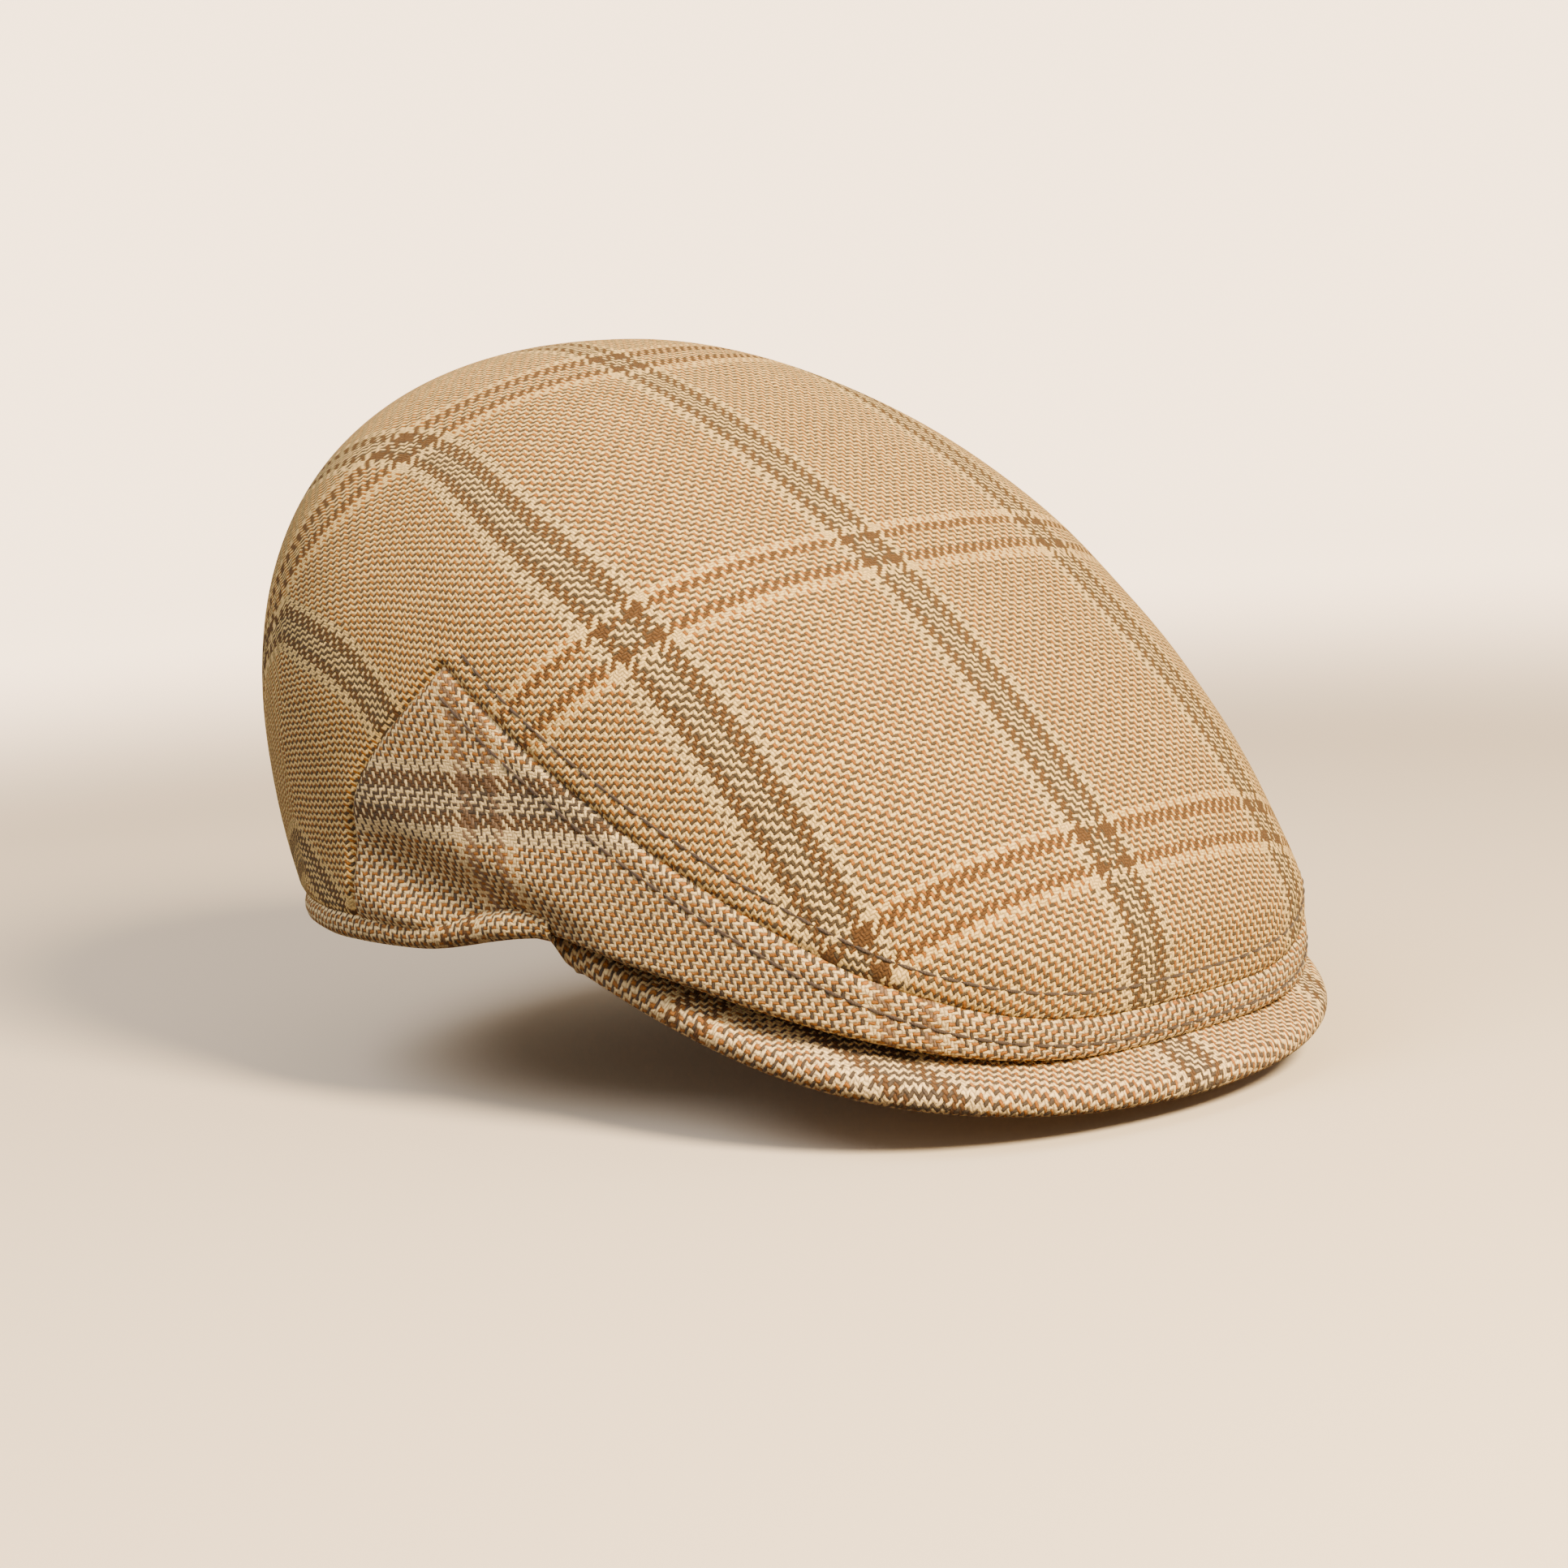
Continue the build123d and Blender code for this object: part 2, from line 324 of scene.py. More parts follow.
def temple_dent(base):
    """The soft hollow and fold on the side panel where the visor's end pulls at the cloth."""
    y, z = base[..., 1], base[..., 2]
    run = unit(DENT_END - DENT_START)
    y, z = y - DENT_START[0], z - DENT_START[1]
    t = (y * run[0] + z * run[1]) / np.linalg.norm(DENT_END - DENT_START)
    off = y * run[1] - z * run[0]
    fade = smooth(t / 0.45 + 0.25) * smooth((1.3 - t) / 0.4)
    side = smooth((np.abs(base[..., 0]) - 60) / 15)
    hollow = -DENT_DEPTH * bump(off, 0, DENT_WIDTH) + 1.1 * bump(off, -10.5, 5.0)
    hollow += 0.9 * bump(off, 11.0, 6.5)
    return hollow * fade * side


def crown_relief(base):
    return seam_relief(base) + hand_made(base) + temple_dent(base)


# ---- cloth coordinates, in millimetres

# Cloth lies in parallel sections of the crown in front of the knee, and in a fan behind it.
LINE_STEPS = 900
KNEE_Y = 15.0
FAN_RADIUS = 117.0
BARREL = np.array([0.7507, -0.6606])
ACROSS = np.array([0.6606, 0.7507])

# Behind HELD_Y the cloth is laid flat anew, with a dart down the back from DART_TIP.
DART_TIP = 92.0
HELD_Y = 56.0

# Repeat of the check across and along, and across as it lies on either side of its middle band.
CHECK_ACROSS = 60.0
CHECK_ALONG = 85.0
CHECK_LAID = (63.5, 57.0)
CHECK_SHIFT = 13.0


def centre_line():
    """Points (y, z) of the middle line from front over top to back, and its length."""
    heights = TOP_Z - (TOP_Z + 36) * np.linspace(0, 1, LINE_STEPS) ** 2
    front = coords(egg(heights)[3], heights)[::-1]
    back = coords(egg(heights)[2], heights)[1:]
    line = np.concatenate([front, back])
    length = lengths(line)
    return line, length


LINE, LINE_LENGTH = centre_line()
KNEE_AT = int(np.argmin(np.abs(LINE[:LINE_STEPS, 0] - KNEE_Y)))
KNEE = LINE[KNEE_AT]
KNEE_LENGTH = LINE_LENGTH[KNEE_AT]
PIVOT = KNEE + FAN_RADIUS * BARREL
LINE_DEPTH = (LINE - KNEE) @ ACROSS
LINE_ANGLE = np.arctan2((LINE - PIVOT) @ ACROSS, -((LINE - PIVOT) @ BARREL))
LINE_RADIUS = np.linalg.norm(LINE - PIVOT, axis=1)


def cloth_frame(points):
    """Each point's section: start on the middle line, direction, length and reach."""
    yz = points[..., 1:]
    depth = (yz - KNEE) @ ACROSS
    ahead = slice(0, KNEE_AT + 1)
    behind = slice(KNEE_AT, None)
    angle = np.arctan2((yz - PIVOT) @ ACROSS, -((yz - PIVOT) @ BARREL))
    order = np.maximum.accumulate(LINE_ANGLE[behind])
    in_front = depth < 0
    pick = [
        np.where(
            in_front,
            np.interp(depth, LINE_DEPTH[ahead], values[ahead]),
            np.interp(angle, order + np.arange(len(order)) * 1e-9, values[behind]),
        )
        for values in (LINE[:, 0], LINE[:, 1], LINE_LENGTH, LINE_RADIUS)
    ]
    start = np.stack(pick[:2], -1)
    fan = (PIVOT - start) / np.maximum(np.linalg.norm(PIVOT - start, axis=-1, keepdims=True), 1e-6)
    direction = np.where(in_front[..., None], BARREL, fan)
    radius = np.linalg.norm(yz - PIVOT, axis=-1)
    length = pick[2] - KNEE_LENGTH
    length = np.where(in_front, length, length * np.minimum(radius / pick[3], 1.3))
    reach = np.where(in_front, 60.0, np.minimum(60.0, 0.6 * pick[3]))
    return start, direction, length, reach


def cloth_uv(points):
    """Length across (from the centre line) and along the top panel's cloth."""
    start, direction, length, reach = cloth_frame(points)
    t = ((points[..., 1:] - start) * direction).sum(-1)
    swing = np.arctan2(np.abs(points[..., 0]), reach - t)
    steps = 14

    def at(turn, radius):
        yz = start + direction * (reach - radius * np.cos(turn))[..., None]
        return np.concatenate([(radius * np.sin(turn))[..., None], yz], -1)

    previous = np.concatenate([np.zeros(points.shape[:-1] + (1,)), start], -1)
    width = np.zeros(points.shape[:-1])
    for k in range(1, steps + 1):
        turn = swing * k / steps
        low, high = np.full_like(turn, 2.0), np.full_like(turn, 170.0)
        radius, _ = bisect(lambda r: gap(at(turn, r)) > 0, low, high, 13)
        point = at(turn, radius)
        width += np.linalg.norm(point - previous, axis=-1)
        previous = point
    return width, length


def checked(width, length, points, sign):
    """Cloth coordinates in millimetres, the check set over to one side as it was cut."""
    u = width * sign * (1 + 0.12 * smooth((points[..., 1] + 20) / 50)) + CHECK_SHIFT
    return coords(u * CHECK_ACROSS / np.where(u < 0, *CHECK_LAID), length)


def triangle_slopes(points, triangles):
    """Area and corner slopes of flat triangles, each in its own plane."""
    a, b, c = (points[triangles[:, k]] for k in range(3))
    normal = np.cross(b - a, c - a)
    area = np.linalg.norm(normal, axis=1) / 2
    ahead = (b - a) / np.linalg.norm(b - a, axis=1)[:, None]
    side = np.cross(normal / (2 * area)[:, None], ahead)
    flat = [[((q - a) * d).sum(1) for d in (ahead, side)] for q in (a, b, c)]
    corners = np.array(flat).transpose(2, 0, 1)
    opposite = corners[:, [2, 0, 1]] - corners[:, [1, 2, 0]]
    slopes = coords(-opposite[..., 1], opposite[..., 0]) / (2 * area)[:, None, None]
    return area, slopes


def lay_flat(points, values, held, rounds=20):
    """Lays the free cloth flat: each triangle keeps its shape and only turns."""
    rows, columns = held.shape
    index = np.arange(rows * columns).reshape(rows, columns)
    a, b, c, d = index[:-1, :-1], index[:-1, 1:], index[1:, 1:], index[1:, :-1]
    triangles = np.concatenate([np.stack(t, -1).reshape(-1, 3) for t in ((a, b, c), (a, c, d))])
    triangles = triangles[~held.ravel()[triangles].all(1)]
    area, slopes = triangle_slopes(points.reshape(-1, 3), triangles)
    values, free = values.reshape(-1, 2).copy(), ~held.ravel()

    def gradient(field):
        return np.einsum("nic,nik->nkc", slopes, field[triangles])

    def gather(target):
        parts = np.einsum("n,nic,nkc->kni", area, slopes, target)
        out = [np.bincount(triangles.ravel(), part.ravel(), len(free)) for part in parts]
        return np.stack(out, 1) * free[:, None]

    for step in range(rounds + 1):
        grown = gradient(values)
        turn = np.arctan2(grown[:, 1, 0] - grown[:, 0, 1], grown[:, 0, 0] + grown[:, 1, 1])
        c, s = np.cos(turn), np.sin(turn)
        rigid = coords(c, -s, s, c).reshape(-1, 2, 2)
        target = rigid if step else np.zeros_like(rigid)
        residual = gather(target - grown)
        way, size = residual.copy(), (residual**2).sum()
        for _ in range(400 if step == 0 else 120):
            pulled = gather(gradient(way))
            share = size / max((way * pulled).sum(), 1e-12)
            values += share * way
            residual -= share * pulled
            size, before = (residual**2).sum(), size
            way = residual + way * size / max(before, 1e-12)
    return values.reshape(rows, columns, 2)


def top_cloth_uv(base, half_columns):
    """Cloth coordinates for each side of the top panel, which meet at the back dart."""
    half = base[:, :half_columns]
    width, length = cloth_uv(half)
    width[:, [0, -1]] *= np.where(half[:, [0, -1], 2] > DART_TIP, 0.0, 1.0)
    held = (half[..., 1] < HELD_Y) | (half[..., 2] > DART_TIP + 8)
    held |= (np.abs(half[..., 0]) < 0.5) & (half[..., 2] > DART_TIP)
    laid = lay_flat(half, coords(width, length), held)
    right = checked(laid[..., 0], laid[..., 1], half, 1.0)
    left = checked(laid[..., 0], laid[..., 1], half, -1.0)
    return right, left


def side_uv(points):
    """Level and height of the side panel's cloth."""
    steps = np.linspace(0, np.pi, 721)
    ring = crown(steps, np.full_like(steps, 4.0))
    length = lengths(ring)
    _, wide, _, _ = egg(points[..., 2])
    turn = np.arctan2(np.abs(points[..., 0]), wide - points[..., 1])
    start = np.interp(math.radians(70), steps, length)
    level = (np.interp(turn, steps, length) - start) * 0.93 + 3.3
    return coords((points[..., 2] - 31.5) * 0.97, level)


# ---- mesh helpers


# Cloth thickness of the pieces, in millimetres.
THICK = dict(top=1.1, side=1.0, band=0.7, visor=0.9, under=0.8, lining=0.3, leather=0.35, label=0.3)

# Columns and rows of the panels: outer cloth, then lining. The top's columns are those of one half.
TOP_GRID, TOP_LINING_GRID = (106, 54), (56, 16)
SIDE_GRID, SIDE_LINING_GRID = (122, 34), (56, 14)
LEVEL = np.array([1.0, 1.0, 0.0])
BAND_INSET = (6.3, 1.5)  # height and depth of the strip behind the edge band


def collect(name, points, faces, uvs=None):
    mesh = bpy.data.meshes.new(name)
    mesh.from_pydata((np.asarray(points).reshape(-1, 3) * MM).tolist(), [], faces)
    if uvs is not None:
        layer = mesh.uv_layers.new(name="cloth")
        index = np.empty(len(mesh.loops), int)
        mesh.loops.foreach_get("vertex_index", index)
        corners = np.asarray(uvs).reshape(-1, 2)[index]
        layer.data.foreach_set("uv", corners.astype(np.float32).ravel())
    mesh.shade_smooth()
    mesh.update()
    thing = bpy.data.objects.new(name, mesh)
    bpy.context.scene.collection.objects.link(thing)
    return thing


def grid_faces(rows, columns, closed=False, flip=False):
    faces = []
    for r in range(rows - 1):
        for c in range(columns if closed else columns - 1):
            n = (c + 1) % columns
            a, b = r * columns + c, r * columns + n
            d, e = a + columns, b + columns
            faces.append((a, d, e, b) if flip else (a, b, e, d))
    return faces


def pole_faces(rows, columns, flip=False):
    """Triangles from the last row to the one point that follows all rows."""
    ring, pole = (rows - 1) * columns, rows * columns
    pairs = [(ring + c, ring + (c + 1) % columns) for c in range(columns)]
    return [(b, a, pole) if flip else (a, b, pole) for a, b in pairs]


def finish_piece(thing, node, material):
    thing.data.materials.append(material)
    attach(thing, "root")
    if node:
        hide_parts(node)
    return thing


def sew(node, points, faces, uvs, thickness, material, side=-1.0):
    """A cloth piece that stands for a CAD node, with real thickness added inwards."""
    thing = collect(node, points, faces, uvs)
    solid = thing.modifiers.new("thickness", "SOLIDIFY")
    solid.thickness = thickness * MM
    solid.offset = side
    return finish_piece(thing, node, material)


# ---- crown panels


def top_columns(bottom, count):
    """(turn, z, turn at the pole) of the columns of the top panel's +X half."""
    seam = seam_boundary()[::-1]
    rear = rear_boundary(bottom)
    last = rear[-1, 0]
    edge_turns = np.linspace(last, math.pi, 200)[1:]
    edge = coords(edge_turns, np.full_like(edge_turns, rear[-1, 1]))
    whole = np.concatenate([seam, rear[1:], edge])
    goal_rear = np.linspace(APEX_TURN, last + 0.22, len(rear))[1:]
    goal_edge = np.linspace(last + 0.22, math.pi, len(edge) + 1)[1:]
    goal = np.concatenate([seam[:, 0], goal_rear, goal_edge])
    points = crown(whole[:, 0], whole[:, 1])
    length = lengths(points)
    steps = np.linspace(0, length[-1], count)
    return [np.interp(steps, length, v) for v in (whole[:, 0], whole[:, 1], goal)]


def top_base(bottom, count, rows):
    """Base points of the top panel, rows from its edge to the pole, columns all the way round."""
    turn, z, goal = top_columns(bottom, count)
    near = 0.064 * np.linspace(0, 1, 13) ** 1.5
    rise = np.concatenate([near, np.linspace(0.08, 0.985, rows)])[:, None]
    height = z + (TOP_Z - z) * (1 - (1 - rise) ** 2)
    turns = turn + (goal - turn) * (1 - (1 - rise) ** 2.5)
    half = crown(turns, height)
    mirrored = half[:, -2:0:-1] * FLIP
    return np.concatenate([half, mirrored], 1)


def inset_bottom(base, height, depth):
    """Sinks the lowest strip behind the turned edge band."""
    behind = smooth((base[..., 1] - TEMPLE_Y) / 8)
    return -depth * smooth((height - base[..., 2] + bottom_z(base[..., 1])) / 4.0) * behind


def join_at_dart(thing, left, rows, columns):
    """Gives the faces on the -X side of the back centre line their own side's cloth coordinates."""
    layer = thing.data.uv_layers["cloth"].data
    corner = np.arange((rows - 1) * columns * 4)
    vertex = np.empty(len(thing.data.loops), int)
    thing.data.loops.foreach_get("vertex_index", vertex)
    values = np.empty(len(vertex) * 2, np.float32)
    layer.foreach_get("uv", values)
    values = values.reshape(-1, 2)
    middle = columns // 2
    own = (vertex[corner] % columns == middle) & (corner // 4 % columns == middle)
    values[corner[own]] = left[vertex[corner[own]] // columns, middle]
    layer.foreach_set("uv", values.ravel())


def make_top(material):
    base = top_base(2.2, *TOP_GRID)
    relief = crown_relief(base) + inset_bottom(base, *BAND_INSET)
    points = base + crown_normal(base) * relief[..., None]
    rows, columns = base.shape[:2]
    half = columns // 2 + 1
    right, left = top_cloth_uv(base, half)
    uv = np.concatenate([right, left[:, -2:0:-1]], 1)
    pole = np.array([[0.0, TOP_Y, TOP_Z + hand_made(np.array([0.0, TOP_Y, TOP_Z]))]])
    pole_point = np.array([[0.01, TOP_Y, TOP_Z - 0.3]])
    pole_uv = checked(*cloth_uv(pole_point), pole_point, 1.0)
    points = np.concatenate([points.reshape(-1, 3), pole])
    uvs = np.concatenate([uv.reshape(-1, 2), pole_uv])
    faces = grid_faces(rows, columns, closed=True) + pole_faces(rows, columns)
    thing = sew("top_panel", points, faces, uvs, THICK["top"], material)
    join_at_dart(thing, left, rows, columns)
    return thing


def coons(bottom, top, left, right, rows):
    """(turn, z) patch between four boundaries, with its rows at shares from bottom to top."""
    u = np.linspace(0, 1, len(bottom))[None, :, None]
    v = rows[:, None, None]
    ends = np.linspace(0, 1, len(left))

    def at(curve):
        return np.stack([np.interp(rows, ends, curve[:, k]) for k in (0, 1)], -1)[:, None]

    edge = (1 - v) * bottom[None] + v * top[None] + (1 - u) * at(left) + u * at(right)
    low = (1 - u) * bottom[0] + u * bottom[-1]
    high = (1 - u) * top[0] + u * top[-1]
    return edge - (1 - v) * low - v * high


def curl_radius(y):
    return 2.3 * (0.22 + 0.78 * smooth((TEMPLE_Y + 2 - y) / 9))


def side_base(columns, rows):
    """The +X side panel: rows from the fold to the seam, columns from rear to front."""
    rear_turn = float(rear_boundary(2.0)[-1, 0])
    turns = np.linspace(rear_turn, 0, 700)
    fold = solve_height(turns, lambda y: bottom_z(y) + curl_radius(y), -45.0, 40.0)
    bottom = along(coords(turns, fold), columns)
    top = along(seam_boundary(), columns)
    rear = rear_boundary(bottom[0, 1])[::-1]
    rear[0] = bottom[0]
    rear = along(rear, 90)
    front = coords(np.zeros(90), np.linspace(bottom[-1, 1], top[-1, 1], 90))
    shares = 0.5 - 0.5 * np.cos(np.pi * np.linspace(0, 1, rows))
    patch = coons(bottom, top, rear, front, shares)
    return crown(patch[..., 0], patch[..., 1])


def with_turned_edge(points, normal):
    """Adds the rows that roll under the bottom fold and lie back against the visor."""
    edge, out = points[0], unit(normal[0] * LEVEL)
    radius = curl_radius(edge[:, 1])[:, None]
    rows = []
    for angle in np.radians([20, 45, 70, 95, 120, 150, 180]):
        offset = -radius * (1 - math.cos(angle)) * out
        offset[:, 2] -= radius[:, 0] * math.sin(angle)
        rows.append(edge + offset)
    for lift, back in ((1.0, 0.5), (2.6, 1.6)):
        flange = rows[6] - out * radius * back * 0.5
        flange[:, 2] += radius[:, 0] * lift * 0.5
        rows.append(flange)
    return np.concatenate([np.array(rows[::-1]), points])


def make_side(name, sign, material):
    base = side_base(*SIDE_GRID)
    normal = crown_normal(base)
    relief = crown_relief(base * np.array([sign, 1, 1])) + inset_bottom(base, *BAND_INSET)
    points = with_turned_edge(base + normal * relief[..., None], normal)
    uv = side_uv(base)
    extra = len(points) - len(base)
    under = np.repeat(uv[:1], extra, 0)
    steps = np.linalg.norm(np.diff(points[: extra + 1], axis=0), axis=-1)[::-1].cumsum(0)[::-1]
    under[..., 0] -= steps
    uv = np.concatenate([under, uv])
    points = points * np.array([sign, 1, 1])
    rows, columns = points.shape[:2]
    faces = grid_faces(rows, columns, flip=sign > 0)
    return sew(name, points, faces, uv, THICK["side"], material)


# ---- edge band


# Profile of the turned band, (up, out) from its upper edge round the fold to its inner edge.
BAND_PROFILE = [(5.2, -2.3), (4.6, -1.4), (4.1, -0.5), (3.4, 0.05), (2.5, 0.3), (1.5, 0.3)]
BAND_PROFILE += [(0.7, 0.05), (0.1, -0.6), (-0.1, -1.5), (0.3, -2.4), (1.3, -2.9), (3.0, -3.1)]
BAND_PROFILE += [(6.0, -3.1)]


def make_edge_band(material):
    turns = np.linspace(0, 1, 230)
    start = float(turn_at(np.array(TEMPLE_Y - 3.0), np.array(3.0)))
    turns = start + (2 * math.pi - 2 * start) * turns
    heights = solve_height(turns, bottom_z, -30.0, 30.0)
    base = crown(turns, heights)
    normal = unit(crown_normal(base) * LEVEL)
    length = lengths(base)
    ends = smooth(np.minimum(length, length[-1] - length) / 14.0)
    wobble = 0.16 * np.sin(length / 6.1) * np.sin(length / 17.0) + 0.06 * np.sin(length / 2.9)
    rows, uvs, drop = [], [], 0.0
    for k, (up, out) in enumerate(BAND_PROFILE):
        reach = out * (0.6 + 0.4 * ends) - 1.9 * (1 - ends) + wobble * (out > -1)
        row = base + normal * reach[:, None]
        row[:, 2] += up * (0.75 + 0.25 * ends)
        rows.append(row)
        if k:
            drop += math.dist(BAND_PROFILE[k], BAND_PROFILE[k - 1])
        uvs.append(coords(np.full_like(length, drop + 18), length))
    faces = grid_faces(len(rows), len(turns))
    return sew("edge_band", rows, faces, uvs, THICK["band"], material)


# ---- visor


def visor_stations(count):
    """Points of the visor's inner and outer line, with short tails running up at both ends."""
    turn = np.radians(np.linspace(-90, 90, count))
    y = VISOR_START_Y - (VISOR_LENGTH - VISOR_Y0 + VISOR_START_Y) * np.cos(turn)
    run = np.clip((VISOR_Y0 - y) / VISOR_LENGTH, 0, 1) ** (1 / VISOR_Y_POWER)
    across = np.sqrt(1 - np.clip(run, 0, 1) ** 2) ** VISOR_X_POWER
    level = VISOR_Z0 - VISOR_DROP * run**VISOR_Z_POWER
    outer = coords(np.sign(turn) * VISOR_HALF_X * across, y, level)
    swing = turn * math.acos(-VISOR_START_Y / VISOR_INNER[1]) / (math.pi / 2)
    x, y = VISOR_INNER[0] * np.sin(swing), -VISOR_INNER[1] * np.cos(swing)
    inner = coords(x, y, VISOR_INNER_Z - VISOR_INNER_DIP * np.cos(swing))
    tail = np.array([[-0.4, 3.0, 2.6], [-0.8, 6.0, 4.6], [-1.4, 9.0, 6.2]])
    ends = [line[-1] + tail for line in (inner, outer)]
    starts = [line[0] + (tail * FLIP)[::-1] for line in (inner, outer)]
    return [np.concatenate([s, line, e]) for s, line, e in zip(starts, (inner, outer), ends)]


def visor_point(inner, outer, along_share, lift):
    """Point between the inner and outer line, lifted square to the visor."""
    run = outer - inner
    length = np.linalg.norm(run, axis=1, keepdims=True)
    out = run / length
    up = unit(np.array([0, 0, 1.0]) - out * out[:, 2:3])
    arch = VISOR_ARCH * np.sin(np.pi * np.clip(along_share, 0, 1))
    return inner + run * along_share[:, None] + up * (lift + arch)[:, None]


def make_visor(material):
    inner, outer = visor_stations(150)
    count = len(inner)
    length = np.linalg.norm(outer - inner, axis=1)
    radius = np.minimum(VISOR_HALF, 0.42 * length)
    edge = 1 - radius / length
    ripple = 0.18 * np.sin(np.linspace(0, 61, count)) + 0.12 * np.sin(np.linspace(0, 23, count) + 1)
    rows, depth = [], []

    def add_row(share, lift, run):
        rows.append(visor_point(inner, outer, share, lift))
        depth.append(run)

    for share in np.linspace(0, 1, 18):
        add_row(edge * share, radius * 0.94 + ripple * share, share * edge * length)
    for angle in np.radians(np.linspace(15, 180, 12)):
        bulge = 1 + 0.05 * math.sin(angle)
        share = edge + radius / length * math.sin(angle) * bulge
        lift = radius * math.cos(angle) * 0.98 + ripple * (1 - angle / 3.2)
        add_row(share, lift, edge * length + radius * angle)
    for back, lift in ((0.8, -1.0), (2.0, -0.98), (2.6, -0.7)):
        share = np.maximum(edge - back / length * np.minimum(length / 8, 1), 0)
        add_row(share, radius * lift, edge * length + radius * np.pi + back)
    points = np.array(rows)
    uv = coords(points[..., 0] + 6, points[..., 1] + 66)
    outward = (outer - inner) / length[:, None]
    extra = np.array(depth) - np.linalg.norm(points[..., :2] - inner[:, :2], axis=-1)
    uv += outward[:, :2] * np.maximum(extra, 0)[..., None]
    faces = grid_faces(len(rows), count)
    cover = sew("visor_cover_top", points, faces, uv, THICK["visor"], material)
    start = np.maximum(edge - 2.9 / length * np.minimum(length / 8, 1), 0)
    profile = [(1.0, -0.55), (0.985, -0.78), (0.965, -0.9)]
    profile += [(share, -0.94) for share in np.linspace(0.93, 0, 10)]
    rows = [visor_point(inner, outer, start * share, radius * lift) for share, lift in profile]
    points = np.array(rows)
    uv = coords(points[..., 0] + 20, points[..., 1] + 40)
    faces = grid_faces(len(rows), count)
    return cover, sew("visor_cover_bottom", points, faces, uv, THICK["under"], material)


# ---- stitches


STITCH_RINGS = 5
STITCH_SIDES = 6


def add_stitch(points, faces, ends, up, width, height):
    """Adds a short rounded stitch that lies between two points."""
    start, end = ends
    side = np.cross(up, unit(end - start))
    first = len(points)
    for share in np.linspace(0, 1, STITCH_RINGS):
        bow = math.sin(math.pi * share) ** 0.5 if 0 < share < 1 else 0.25
        centre = start + (end - start) * share + up * (0.28 * math.sin(math.pi * share) - 0.12)
        for s in range(STITCH_SIDES):
            angle = 2 * math.pi * s / STITCH_SIDES
            offset = side * (width / 2 * math.cos(angle)) + up * (height / 2 * math.sin(angle))
            points.append(centre + offset * bow)
    for a, b, c, d in grid_faces(STITCH_RINGS, STITCH_SIDES, closed=True):
        faces.append((first + a, first + b, first + c, first + d))
    last = len(points) - STITCH_SIDES
    faces.append(tuple(first + s for s in range(STITCH_SIDES))[::-1])
    faces.append(tuple(last + s for s in range(STITCH_SIDES)))


def seam_offset(shift):
    """The +X side's line a shift above (+) or below (-) the seam, from rear to front."""
    line = SEAM_HALF[::4]
    across = np.cross(unit(np.gradient(line, axis=0)), crown_normal(line))
    across *= np.sign(across[:, 2:3])
    moved = onto_crown(line + across * shift)
    keep = (distance_to(REAR_SEAM_TREE, moved) > 2.5) & (moved[:, 0] > -0.5)
    return moved[keep]


def make_topstitch(name, shift, material):
    """Stitches laid along a line on the crown, from one rear seam to the other."""
    line = seam_offset(shift)
    full = np.concatenate([line, (line * FLIP)[::-1]])
    steps = lengths(full)
    points, faces = [], []
    for k in range(int(steps[-1] / STITCH_PITCH)):
        begin = k * STITCH_PITCH + 0.25 * math.sin(k * 2.3)
        places = np.array([begin, begin + STITCH_LENGTH])
        ends = np.stack([np.interp(places, steps, full[:, c]) for c in range(3)], -1)
        normal = crown_normal(ends)
        ends = ends + normal * (crown_relief(ends) + STITCH_LIFT)[:, None]
        add_stitch(points, faces, ends, normal.mean(0), *STITCH_SIZE)
    finish_piece(collect(name, points, faces), name, material)


# ---- inside


LINING_DEPTH = 4.6  # from the crown's surface to the lining


def make_lining(material):
    base = top_base(8.0, *TOP_LINING_GRID)
    pleat = 0.25 * np.sin(base[..., 0] / 5.0) * smooth((60 - base[..., 2]) / 40)
    points = base - crown_normal(base) * (LINING_DEPTH + pleat)[..., None]
    rows, columns = base.shape[:2]
    points = np.concatenate([points.reshape(-1, 3), [[0.0, TOP_Y, TOP_Z - LINING_DEPTH]]])
    faces = grid_faces(rows, columns, closed=True, flip=True)
    faces += pole_faces(rows, columns, flip=True)
    plain = coords(base[..., 0], base[..., 1] + base[..., 2]).reshape(-1, 2)
    uvs = np.concatenate([plain, [[0.0, TOP_Y + TOP_Z]]])
    pieces = [sew("lining_top", points, faces, uvs, THICK["lining"], material)]
    base = side_base(*SIDE_LINING_GRID)
    sunk = base - crown_normal(base) * LINING_DEPTH
    for name, sign in (("lining_side_left", 1), ("lining_side_right", -1)):
        points = sunk * np.array([sign, 1, 1])
        faces = grid_faces(*base.shape[:2], flip=sign < 0)
        uvs = side_uv(base)
        pieces.append(sew(name, points, faces, uvs, THICK["lining"], material))
    return pieces


def band_dip(turn):
    """How far the sweatband follows the visor down at the front."""
    return 11.0 * smooth(np.cos(turn) * 1.1)


def band_ring(turns, inward, height):
    """Points of the sweatband's oval, set inward, at a height above its lower edge."""
    x, y = (BAND_HALF_X - inward) * np.sin(turns), -(BAND_HALF_Y - inward) * np.cos(turns)
    return coords(x, y, BAND_Z + height - band_dip(turns))


